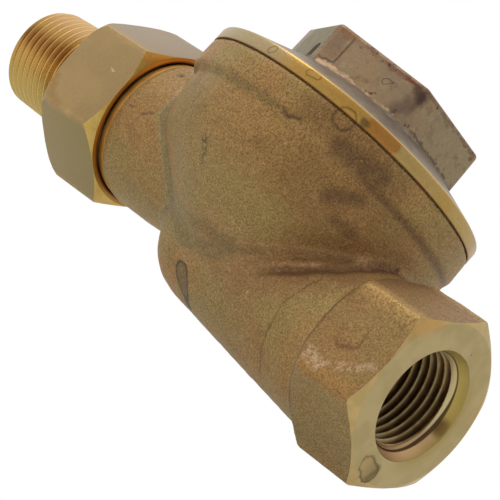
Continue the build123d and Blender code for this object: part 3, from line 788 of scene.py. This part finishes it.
# the machining: outlet face, union shoulder and thread, outlet tap and mouth, bores and seats
outlet_face = [(0, 0), (0, 15.8), (-2.1, 19.4), (3, 19.4), (3, 0)]
work(cast_body, turned("outlet_facing", outlet_face), machined_bronze)
rounding = [(-88.6, 0), (-88.6, 14.8), (-85.8, 14.87), (-85.4, 15.0), (-84.5, neck_radius), (-83.4, 15.4)]
rounding += [(-83.4, 18), (-102, 18), (-102, 0)]
work(cast_body, turned("neck_rounding", rounding, inlet), cast_bronze)
shoulder = [(-88.2, 0), (-88.2, 14.0), (-88.0, 14.2), (-87.3, 14.6), (-85.75, 14.8), (-85.75, 18)]
shoulder += [(-102, 18), (-102, 0)]
work(cast_body, turned("shoulder_facing", shoulder, inlet), gilt_bronze)
spigot = threaded("spigot", spigot_end, neck_end + 2, spigot_crest, spigot_root, inlet)
work(cast_body, spigot, bored_bronze, "UNION")
work(cast_body, threaded("outlet_tap", -14.2, -2.9, outlet_root, outlet_crest), tapped_bronze)
mouth = [(-3.4, 0), (-3.4, 8.95), (-2.0, 9.7), (-1.9, 9.8), (0, 10.75), (1, 11.5), (1, 0)]
work(cast_body, turned("outlet_mouth", mouth), machined_bronze)
inlet_bore = [(-69.3, 0), (-69.3, 8), (-91.9, 8), (-91.9, 8.6), (spigot_end, 11), (-98, 11.5), (-98, 0)]
work(cast_body, turned("inlet_bore", inlet_bore, inlet), bored_bronze)
channel_start = Vector((-50.6, 0, -2.15)) * mm
channel_run = Vector((-14.0, 0, 0)) * mm - channel_start
channel_end = channel_run.length / mm
channel = arc((0, 0), 5.3, 180, 95, 8) + [(channel_end, 8.6), (channel_end, 0)]
work(cast_body, turned("channel", channel, channel_start, channel_run.normalized()), bored_bronze)
tap_foot, tap_root, tap_crest = 21.5, 28.3, 27.6
bowl_core = [(6.5, 0), (6.5, 17.65), (14.47, 26.5), (tap_foot, 26.5), (tap_foot, tap_crest)]
bowl_core += [(23, tap_crest), (23, 0)]
work(cast_body, turned("bowl_core", bowl_core, bonnet, up), bored_bronze)
work(cast_body, threaded("cap_tap", tap_foot, 30, tap_root, tap_crest, bonnet, up), bored_bronze)
seat_hole = [(-2.15, 0), (-2.15, 3.65), (3.05, 3.65), (3.05, 6.05), (7, 6.05), (7, 0)]
work(cast_body, turned("seat_hole", seat_hole, bonnet, up), bored_bronze)
valley = cast_body.data.attributes.new("valley", "FLOAT", "POINT")
valley.data.foreach_set("value", [fade(valley_depth(v.co / mm), 0.3, 2.6) for v in cast_body.data.vertices])
smoothed(cast_body, 25)
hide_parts("valve_body")
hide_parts("outlet_hexagon")
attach(cast_body, "body")


# ---------------------------------------------------------------- valve seat and its gasket
# The seat is a turned stainless bush, screwed down through the floor of the bowl on an
# annealed copper ring.
def turned_steel(name, ring_size=0.25, heat=0.0):
    """Stainless steel with the rings of the turning tool and a little heat tint."""
    steel = Surface(name)
    off_axis = steel.from_line(up, bonnet)
    rings = steel.turning_lines(off_axis + steel.z, 1 / ring_size)
    bare = steel.mix(steel.clouds(3.0, 2).ramp(0.35, 0.65), tone(168, 168, 164), tone(150, 150, 147))
    tinted = steel.mix(steel.clouds(5.0, 2, 6.0).ramp(0.45, 0.7, 0.0, heat), bare, tone(164, 142, 106))
    colour = steel.scaled(tinted, rings.ramp(0.2, 0.8, 0.92, 1.08))
    return steel.finish(colour, rings.ramp(0.2, 0.8, 0.26, 0.38), 1.0, rings, 0.008)


def soft_copper():
    """Annealed copper, pinkish with brown oxide."""
    copper = Surface("annealed_copper")
    colour = copper.mix(copper.clouds(1.5, 3).ramp(0.4, 0.65), tone(192, 126, 98), tone(128, 78, 56))
    rough = copper.clouds(0.6, 2).ramp(0.3, 0.7, 0.34, 0.5)
    return copper.finish(colour, rough, 1.0, copper.clouds(0.4, 2), 0.02)


coat(nodes["valve_seat"], turned_steel("seat_steel", 0.2, 0.5))
coat(nodes["seat_gasket"], soft_copper())


# ---------------------------------------------------------------- strainer screen
# A stainless sheet with punched holes is rolled round the valve element and held between
# two pressed rings.
def rolled_sheet():
    """Rolled stainless sheet: fine upright grain, with scale that the water left."""
    sheet = Surface("screen_sheet")
    grain = sheet.vector("MULTIPLY", sheet.place, Vector((6.0, 6.0, 0.6)))
    drawn_grain = sheet.node("ShaderNodeTexNoise", {}, {"Vector": grain, "Scale": 1.0, "Detail": 2.0})
    scale = sheet.clouds(2.0, 3, 5.0).ramp(0.52, 0.7, 0.0, 0.6)
    colour = sheet.mix(scale, tone(158, 157, 152), tone(142, 124, 96))
    colour = sheet.scaled(colour, drawn_grain.ramp(0.25, 0.75, 0.92, 1.08))
    return sheet.finish(colour, scale * 0.3 + 0.3, 1.0 - scale * 0.5, drawn_grain, 0.01)


screen_sheet = rolled_sheet()
for name in ("strainer_screen", "screen_bottom_ring", "screen_top_ring"):
    coat(nodes[name], screen_sheet)


# ---------------------------------------------------------------- union tailpiece
# The tailpiece is turned from brass bar: a taper pipe thread outside, a plain bore, and
# the cone that the nut pulls into the spigot of the body.
tail_end, nut_back = -124.9, -104.2
tail_crest, tail_root, tail_taper, tail_bore_radius = 10.36, 9.5, 1 / 32, 7.6


def turned_brass():
    """Bright brass, golden on the crests and red-brown in the roots of the thread: a painted sheen towards
    the top, painted shade in the roots and a painted dark red reflection along the near side.
    """
    brass = Surface("turned_brass")
    off_axis = brass.from_line(east, inlet)
    taper = (brass.x - tail_end) * tail_taper
    root = (off_axis - taper).fall(9.55, 9.85) * brass.x.fall(-105.4, -105.0)
    colour = brass.mix(brass.clouds(6.0, 2).ramp(0.35, 0.65), tone(210, 166, 94), tone(198, 156, 86))
    # red: a painted dark reflection along the near side, strongest in the roots
    red = brass.marks((0.75, 0.6, 3.6, (-123.0, -9.9, 12.9), (-117.0, -9.8, 12.4), (-112.0, -9.9, 12.8)))
    colour = brass.stained(
        colour,
        # a painted sheen, paler towards the top
        ((224, 182, 130), brass.z.ramp(14.0, 21.0, 0.0, 0.85)),
        ((190, 166, 100), brass.z.fall(4.0, 10.0, 0.8)),
        # painted shade in the roots of the thread
        ((140, 90, 40), root * 0.3),
        ((146, 78, 38), red * (off_axis - taper).ramp(9.6, tail_crest, 1.0, 0.45)),
    )
    rings = brass.turning_lines(brass.x, 7.0, Detail=1.0)
    colour = brass.scaled(colour, rings.ramp(0.2, 0.8, 0.92, 1.08))
    colour = brass.mix(1.0, colour, (0.94, 0.94, 0.92), "MULTIPLY")
    return brass.finish(colour, rings.ramp(0.2, 0.8, 0.24, 0.34), 1.0, rings, 0.01)


bright_brass = turned_brass()
tail = threaded("tailpiece", tail_end, nut_back - 0.9, tail_crest, tail_root, inlet, growth=tail_taper)
tip_out, tip_in = tail_end - 0.5, tail_end + 1.6
tip = [(tip_in, 12), (tip_in, 11.3), (tip_out, 9.2), (tip_out, 12), (tip_in, 12)]
coat(tail, bright_brass)
work(tail, turned("tail_tip", tip, inlet), bright_brass)
shank = [(nut_back - 2.0, 0), (nut_back - 2.0, 10.2), (nut_back - 0.9, 10.4), (nut_back + 2.0, 10.4)]
shank += [(nut_back + 2.0, 13.3), (-97.2, 13.3), (-97.2, 10.84), (-92.2, 8.44), (-92.2, 0)]
work(tail, turned("shank", shank, inlet), bright_brass, "UNION")
tail_bore = [(tail_end - 1, 0), (tail_end - 1, 8.1), (tail_end, 7.9), (tail_end + 0.4, tail_bore_radius)]
tail_bore += [(-91, tail_bore_radius), (-91, 0)]
work(tail, turned("tail_bore", tail_bore, inlet), bright_brass)
smoothed(tail)
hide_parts("union_tailpiece")
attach(tail, "tailpiece")


# ---------------------------------------------------------------- union nut
# The nut is cut from hexagon bar and runs on the thread of the body's spigot. Its flats
# are drawn and satin, and its front is chamfered bright, round an orange-brown lip that darkens inwards with
# painted shade.
nut_front, nut_flats, lip_radius = -87.7, 31.7, 15.9
nut_root, nut_crest = 14.9, 14.2


def drawn_bar():
    """Satin bar bronze: tan flats, golden chamfer and orange-brown lip, with a painted sheen on top, painted
    highlights on the edges and painted shade in the lip.
    """
    bar = Surface("drawn_bar_bronze")
    off_axis = bar.from_line(east, inlet)
    broad = bar.clouds(9.0, 2)
    fine = bar.clouds(0.45, 2)
    colour = bar.mix(broad.ramp(0.38, 0.62), tone(165, 138, 94), tone(158, 132, 91))
    # corner: a painted highlight along the edges, broken into patches
    corner = off_axis.ramp(17.75, 18.15) * bar.clouds(1.4, 2, 5.0).ramp(0.4, 0.62, 0.1, 0.55)
    seat = bar.x.fall(-103.6, -102.2) * off_axis.ramp(16.2, 17.0) * bar.clouds(3.0, 2, 3.0).ramp(0.4, 0.62)
    spots = bar.marks((0.85, 0.15, 0.7, (-103.0, -15.6, 2.9)), (0.75, 0.15, 0.5, (-89.9, -15.8, 4.2)))
    scratches = bar.marks(
        (0.6, 0.05, 0.4, (-93.3, -15.96, 14.9), (-92.2, -15.96, 14.9)),
        (0.7, 0.1, 0.4, (-95.5, -15.9, 20.3), (-94.9, -15.9, 20.5)),
    )
    colour = bar.stained(
        colour,
        # a painted sheen, greyer towards the top
        ((148, 130, 108), bar.z.ramp(21.5, 23.5, 0.0, 0.85)),
        ((142, 127, 82), bar.z.fall(2.2, 3.6, 0.85)),
        ((188, 152, 100), corner),
        ((176, 128, 62), seat * 0.45),
        ((150, 112, 62), 0.5, 0.3, 1.5, (-103.4, -15.9, 8.0), (-101.5, -15.5, 4.6), (-98.0, -15.4, 3.4)),
        ((128, 124, 100), 0.5, 0.4, 2.4, (-103.6, -15.4, 3.0), (-102.6, -14.6, 1.2), (-103.4, -13.6, -1.0)),
        ((84, 62, 34), spots),
        ((212, 192, 150), scratches),
    )

    # the cone of the front chamfer, then the lip inside it, golden and lighter towards the top, darkening to
    # brown inwards with painted shade
    cone = off_axis - lip_radius + (bar.x - nut_front) * 1.6
    on_cone = cone.ramp(-0.12, 0.0) * bar.x.ramp(-90.6, -90.2)
    gold = bar.mix(bar.clouds(4.0, 2, 6.0).ramp(0.35, 0.65), tone(192, 158, 82), tone(206, 174, 100))
    gold = bar.mix(bar.z.ramp(17.0, 23.0, 0.0, 0.85), gold, tone(192, 130, 50))
    colour = bar.mix(on_cone, colour, gold)
    lip = bar.x.ramp(-87.95, -87.8) * off_axis.fall(15.7, 15.95)
    inside = off_axis.fall(15.0, 15.3) * bar.x.ramp(-93.0, -92.0)
    golden = bar.mix(bar.z.ramp(12.0, 24.0), tone(170, 122, 42), tone(236, 166, 72))
    # painted shade: darker brown further in, towards the gap round the spigot
    brown = bar.mix(off_axis.ramp(14.9, 15.5), tone(104, 54, 8), golden)
    colour = bar.mix(lip.most(inside) * 0.9, colour, brown)
    colour = bar.scaled(colour, fine.ramp(0.2, 0.8, 0.94, 1.06))
    colour = bar.mix(1.0, colour, (0.95, 0.94, 0.89), "MULTIPLY")
    rough = on_cone.most(lip) * -0.12 + 0.46
    return bar.finish(colour, rough, 0.75, fine, 0.012)


nut_corner = nut_flats / math.sqrt(3) + 0.05
nut_line = [(nut_back, 0), (nut_back, 16.0), (nut_back + 0.55, 17.05), (nut_back + 1.5, 17.85)]
nut_line += [(nut_back + 2.7, nut_corner), (nut_front - 1.5, nut_corner)]
nut_line += [(nut_front, lip_radius), (nut_front, 0)]
bar_bronze = drawn_bar()
nut = six_sided("nut", nut_flats, nut_back, nut_front, inlet, east, 92.6)
work(nut, turned("nut_envelope", nut_line, inlet, steps=144), operation="INTERSECT")
bevelled(nut, 0.42, 3, 18)
coat(nut, bar_bronze)
nut_bore = [(nut_back - 1, 0), (nut_back - 1, 11.28), (nut_back + 1.9, 11.28), (nut_back + 1.9, nut_root)]
nut_bore += [(nut_back + 4.0, nut_root), (nut_back + 4.0, nut_crest), (nut_front - 0.9, nut_crest)]
nut_bore += [(nut_front, nut_root), (nut_front + 1, 15.7), (nut_front + 1, 0)]
work(nut, turned("nut_bore", nut_bore, inlet), bar_bronze)
work(nut, threaded("nut_tap", nut_back + 3.5, nut_front - 0.9, nut_root, nut_crest, inlet), bar_bronze)
smoothed(nut)
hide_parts("union_nut")
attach(nut, "nut")


# ---------------------------------------------------------------- thermostatic element
# A brass bellows between two soldered plates hangs from a stud under the cap. It pushes a
# stainless valve head on its stem down onto the seat as it fills with vapour.
def inner_brass(name, light, dark):
    """Brass inside the trap, dulled in patches by hot water."""
    dull = Surface(name)
    patches = dull.clouds(3.5, 3).ramp(0.4, 0.66)
    off_axis = dull.from_line(up, bonnet)
    rings = dull.turning_lines(off_axis - dull.z, 3.0)
    colour = dull.scaled(dull.mix(patches, light, dark), rings.ramp(0.2, 0.8, 0.93, 1.07))
    return dull.finish(colour, patches * 0.2 + 0.3, 1.0, rings, 0.01)


def soft_solder():
    """A drop of solder, dull grey and wrinkled."""
    drop = Surface("soft_solder")
    wrinkles = drop.clouds(0.5, 3)
    colour = drop.mix(wrinkles.ramp(0.4, 0.65), tone(176, 176, 172), tone(132, 132, 130))
    return drop.finish(colour, 0.45, 1.0, wrinkles, 0.04)


stud_brass = inner_brass("stud_brass", tone(190, 156, 92), tone(142, 110, 60))
thin_brass = inner_brass("bellows_brass", tone(200, 164, 98), tone(158, 112, 62))
for name in ("element_stud", "element_lock_nut", "bellows_stop"):
    coat(nodes[name], stud_brass)
for name in ("bellows_top_plate", "bellows", "bellows_bottom_plate"):
    coat(nodes[name], thin_brass)
coat(nodes["element_lock_washer"], turned_steel("washer_steel", 0.3))
coat(nodes["fill_plug"], soft_solder())
stem_steel = turned_steel("stem_steel", 0.15, 0.3)
for name in ("valve_stem", "head_lock_nut", "valve_head"):
    coat(nodes[name], stem_steel)


# ---------------------------------------------------------------- cap gasket
# A flat ring of compressed fibre lies between the flange and the cap, which presses it
# tight when it is screwed down.
def pressed_fibre():
    """Dark compressed fibre with lighter hairs."""
    fibre = Surface("pressed_fibre")
    hairs = fibre.clouds(0.3, 4).ramp(0.5, 0.62)
    colour = fibre.mix(hairs, tone(96, 66, 34), tone(128, 92, 54))
    return fibre.finish(colour, 0.8, 0.0, hairs, 0.03)


coat(nodes["cap_gasket"], pressed_fibre())


# ---------------------------------------------------------------- cap
# The cap is turned from a cast blank with a hexagon on top, and screws down into the
# bowl. Its rim is bright and golden, its cone grey with tarnish and a painted sheen, its hexagon tarnished.
cap_foot, cap_crest, cap_root, rim_foot, rim_top = 21.65, 27.3, 26.6, 29.15, 31.25
head_foot, head_top, head_flats, head_turn = 34.5, 44.6, 35.949, 22.4
head_draft = math.tan(math.radians(1.64)) / 17.975


def tarnished():
    """Tarnished bronze: golden rim, grey cone and a brown hexagon with dark corners, with painted sheen and
    highlights.
    """
    dull = Surface("tarnished_bronze")
    off_axis = dull.from_line(up, bonnet)
    broad = dull.clouds(8.0, 2)
    patchy = dull.clouds(2.2, 3, 4.0)
    fine = dull.clouds(0.4, 2)

    # the hexagon: green on one flat, grey on another, smoky and rusty at its corners
    left_flat = dull.marks((0.8, 7, 10, (-60, -15, 40)))
    near_edge = dull.marks((0.6, 0.2, 0.9, (-49.9, -18.9, 44.0), (-47.2, -17.8, 43.8), (-37.5, -13.8, 43.6)))
    far_edge = dull.marks((0.7, 0.2, 0.8, (-34.3, -12.0, 44.1), (-31.9, 6.6, 44.1)))
    top_edge = dull.off((-49.9, -18.9, 44.0), (-34.4, -12.1, 44.0), (-31.9, 6.6, 44.0))
    foot_edge = dull.off((-42.0, -16.3, 37.1), (-34.4, -12.0, 37.0), (-31.9, 6.6, 37.0))
    nicks = top_edge.least(foot_edge).fall(0.4, 1.3) * dull.clouds(0.8, 2, 16.0).ramp(0.60, 0.66)
    rust = dull.marks((1.0, 0.2, 0.9, (-38.4, -14.1, 43.7), (-36.2, -13.2, 43.2))) * patchy.ramp(0.46, 0.52)
    rust = rust.most(dull.marks((1.0, 0.2, 0.9, (-31.8, 6.6, 43.1))))
    rust = rust.most(dull.marks((0.8, 0.3, 1.6, (-32.3, 13.0, 41.0))))
    drop = dull.off((-40.9, -15.25, 40.75), (-39.3, -14.6, 41.6), ragged=False)
    drop = drop + dull.x.ramp(-41.0, -39.3, 0.0, 0.65)
    upright = dull.off((-49.7, -18.9, 43.4), (-49.7, -19.0, 38.0), ragged=False)
    across = dull.off((-49.7, -19.0, 38.0), (-50.6, -19.3, 37.4), (-52.4, -20.1, 37.4))
    along_flat = (dull.x + 53.8) * -0.79 + (dull.y + 20.1) * 0.61
    stain = along_flat.near(2.1, 3.0) * dull.z.fall(38.2, 40.6)
    stain = stain.ramp(0.3, 0.42) * left_flat.ramp(0.05, 0.3)
    colour = dull.stained(
        dull.mix(broad.ramp(0.38, 0.62), tone(142, 122, 100), tone(150, 126, 98)),
        ((146, 134, 106), 0.7, 3, 10, (-31.8, -2, 41), (-31.8, 6, 41)),
        ((126, 124, 100), left_flat),
        ((118, 96, 76), patchy.ramp(0.5, 0.66, 0.0, 0.45)),
        ((162, 144, 116), dull.clouds(3.2, 3, 8.0).ramp(0.55, 0.68, 0.0, 0.4)),
        ((86, 66, 56), 0.65, 0.3, 2.4, (-34.5, -12.3, 42.7), (-35.2, -12.9, 40.0), (-36.6, -13.6, 37.2)),
        ((62, 40, 36), 0.75, 0.3, 1.7, (-34.6, -12.1, 42.2), (-35.8, -13.1, 43.3)),
        ((118, 74, 54), near_edge * patchy.ramp(0.36, 0.5, 0.3, 1.0)),
        ((112, 80, 56), far_edge * patchy.ramp(0.36, 0.5, 0.4, 1.0)),
        ((58, 40, 32), nicks * 0.8),
        ((112, 58, 40), rust * 0.75),
        ((72, 58, 46), drop.near(0.6, 0.2) * 0.75),
        ((118, 92, 74), 0.5, 1.0, 2.4, (-52.2, -19.8, 42.5), (-51.6, -19.7, 39.5)),
        ((80, 64, 48), upright.least(across).fall(0.1, 0.35, 0.75)),
        ((74, 60, 52), stain * 0.9),
        ((132, 88, 58), 0.6, 0.4, 1.6, (-53.6, -19.5, 43.3), (-50.2, -18.8, 43.9)),
        ((108, 88, 72), dull.clouds(1.2, 2, 9.0).ramp(0.62, 0.7, 0.0, 0.35)),
    )

    # the cone, greyer, partly tarnish and partly a painted sheen, with a painted highlight by the rim and a
    # painted copper highlight where the hexagon rises from it
    cone = dull.stained(
        dull.mix(patchy.ramp(0.35, 0.65), tone(136, 123, 110), tone(118, 104, 92)),
        ((146, 136, 130), dull.turning_lines(off_axis, 1.4, Detail=2.0).ramp(0.4, 0.62, 0.0, 0.5)),
        # a painted highlight next to the rim
        ((176, 148, 108), dull.z.fall(31.9, 33.0, 0.6)),
    )
    # painted highlights along the foot of the hexagon
    gleam = dull.marks((0.9, 0.15, 0.7, (-52.2, -20.1, 36.4), (-51.0, -19.7, 36.5), (-49.0, -18.7, 36.9)))
    foot = dull.marks((0.8, 0.15, 0.6, (-49.0, -18.9, 36.8), (-42.0, -16.3, 37.1), (-34.5, -13.3, 36.6)))
    crack = [(-34.4, -11.5, 36.8), (-33.7, -8.3, 37.3), (-33.1, -4.0, 37.0)]
    crack += [(-32.2, 1.3, 37.2), (-31.8, 4.5, 36.9)]
    colour = dull.stained(
        colour,
        (cone, dull.z.fall(36.3, 36.9)),
        ((214, 180, 152), gleam.most(foot * patchy.ramp(0.35, 0.5, 0.5, 1.0))),
        ((70, 52, 46), 0.7, 0.1, 0.5, *crack),
    )

    # the turned rim: cream on the left, orange in front, with dried drops and blots, and a painted highlight
    # along its upper edge
    on_rim = off_axis.ramp(30.3, 30.6) * dull.z.fall(31.55, 31.75)
    rim = dull.stained(
        dull.mix(broad.ramp(0.4, 0.6), tone(172, 141, 88), tone(168, 134, 76)),
        ((163, 144, 106), 0.9, 5, 17, (-59, -29.5, 30.4)),
        ((176, 134, 60), 0.7, 1, 7, (-44, -30, 30.5), (-34, -26, 30.5)),
        ((172, 146, 88), 0.75, 2, 7, (-24, -15.5, 30.5), (-20, -4, 30.5), (-19.8, 4, 30.5)),
        ((170, 136, 66), 0.6, 1.0, 4.5, (-20.4, -6.0, 30.0)),
        ((160, 108, 44), 0.85, 1.2, 1.9, (-29.6, -22.7, 30.5), (-26.8, -19.4, 30.5)),
        ragged=False,
    )
    oval = dull.off((-51.9, -30.9, 30.2), (-51.4, -30.9, 30.7), ragged=False).near(0.6, 0.24)
    oval = oval.most(dull.off((-42.6, -29.8, 30.7), (-41.0, -29.3, 31.0), ragged=False).near(0.6, 0.24))
    oval = oval.most(dried_ring(dull).near(1.9, 0.4))
    rim = dull.stained(
        rim,
        ((122, 88, 36), oval * 0.75),
        ((92, 70, 40), 0.75, 0.5, 1.2, (-30.9, -23.8, 29.8)),
        ((120, 82, 36), dull.z.near(rim_foot, 0.25) * 0.5),
    )
    colour = dull.mix(1.0, colour, (0.92, 0.88, 0.78), "MULTIPLY")
    # lip: a painted highlight along the upper edge of the rim, stronger to the right
    lip = dull.z.near(31.75, 0.35) * off_axis.ramp(30.2, 30.5)
    colour = dull.stained(
        colour,
        (rim, on_rim),
        ((206, 176, 122), lip * dull.x.ramp(-45.0, -32.0, 0.35, 0.75)),
        ((150, 124, 76), dull.z.fall(28.8, 29.0)),
    )
    colour = dull.scaled(colour, fine.ramp(0.2, 0.8, 0.91, 1.09))
    rough = on_rim * -0.12 + stain * 0.5 + left_flat * (1 - on_rim) * 0.2 + 0.46
    return dull.finish(colour, rough.least(0.95), on_rim * 0.2 + 0.65, fine + patchy * 0.6, 0.03)


dull_bronze = tarnished()
rim_line = [(rim_foot, cap_root), (rim_foot, 30.0), (rim_foot - 0.09, 30.3), (rim_foot - 0.09, flange_radius)]
rim_line += [(rim_top, flange_radius), (rim_top + 0.4, 30.75), (rim_top + 0.6, 30.35)]
cap_line = [(cap_foot, 0), (cap_foot, cap_root)] + rim_line
cap_line += [(36.4, 18.8), (36.9, 17.9), (38.0, 17.0), (38.0, 0)]
cap = turned("screw_cap", cap_line, bonnet, up, steps=192)
coat(cap, dull_bronze)
head = six_sided("head", head_flats, head_foot, head_top, bonnet, up, head_turn + 90)
for vertex in head.data.vertices:
    share = 1 - (vertex.co.z / mm - head_foot) * head_draft
    vertex.co.x = bonnet.x + (vertex.co.x - bonnet.x) * share
    vertex.co.y *= share
pick(head)
bpy.ops.object.mode_set(mode="EDIT")
bpy.ops.mesh.select_all(action="DESELECT")
bpy.ops.mesh.select_mode(type="EDGE")
bpy.ops.object.mode_set(mode="OBJECT")
for edge in head.data.edges:
    edge.select = max(head.data.vertices[n].co.z for n in edge.vertices) > (head_top - 0.1) * mm
bpy.ops.object.mode_set(mode="EDIT")
bpy.ops.mesh.bevel(offset=0.75 * mm, segments=5)
bpy.ops.mesh.select_mode(type="VERT")
bpy.ops.object.mode_set(mode="OBJECT")
work(cap, head, dull_bronze, "UNION")
bevelled(cap, 0.45, 2, 38)
work(cap, threaded("cap_thread", 22.2, 28.5, cap_crest, cap_root, bonnet, up), dull_bronze, "UNION")
hollow = [(20.5, 0), (20.5, 23.3), (29.65, 23.3), (29.65, 15.5), (31.15, 14.0), (40.4, 14.0)]
hollow += [(40.4, 6.5), (37.4, 6.5), (37.4, 3.05), (40.4, 3.05), (40.4, 0)]
work(cap, turned("cap_hollow", hollow, bonnet, up), bored_bronze)
smoothed(cap)
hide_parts("cap")
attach(cap, "cap")
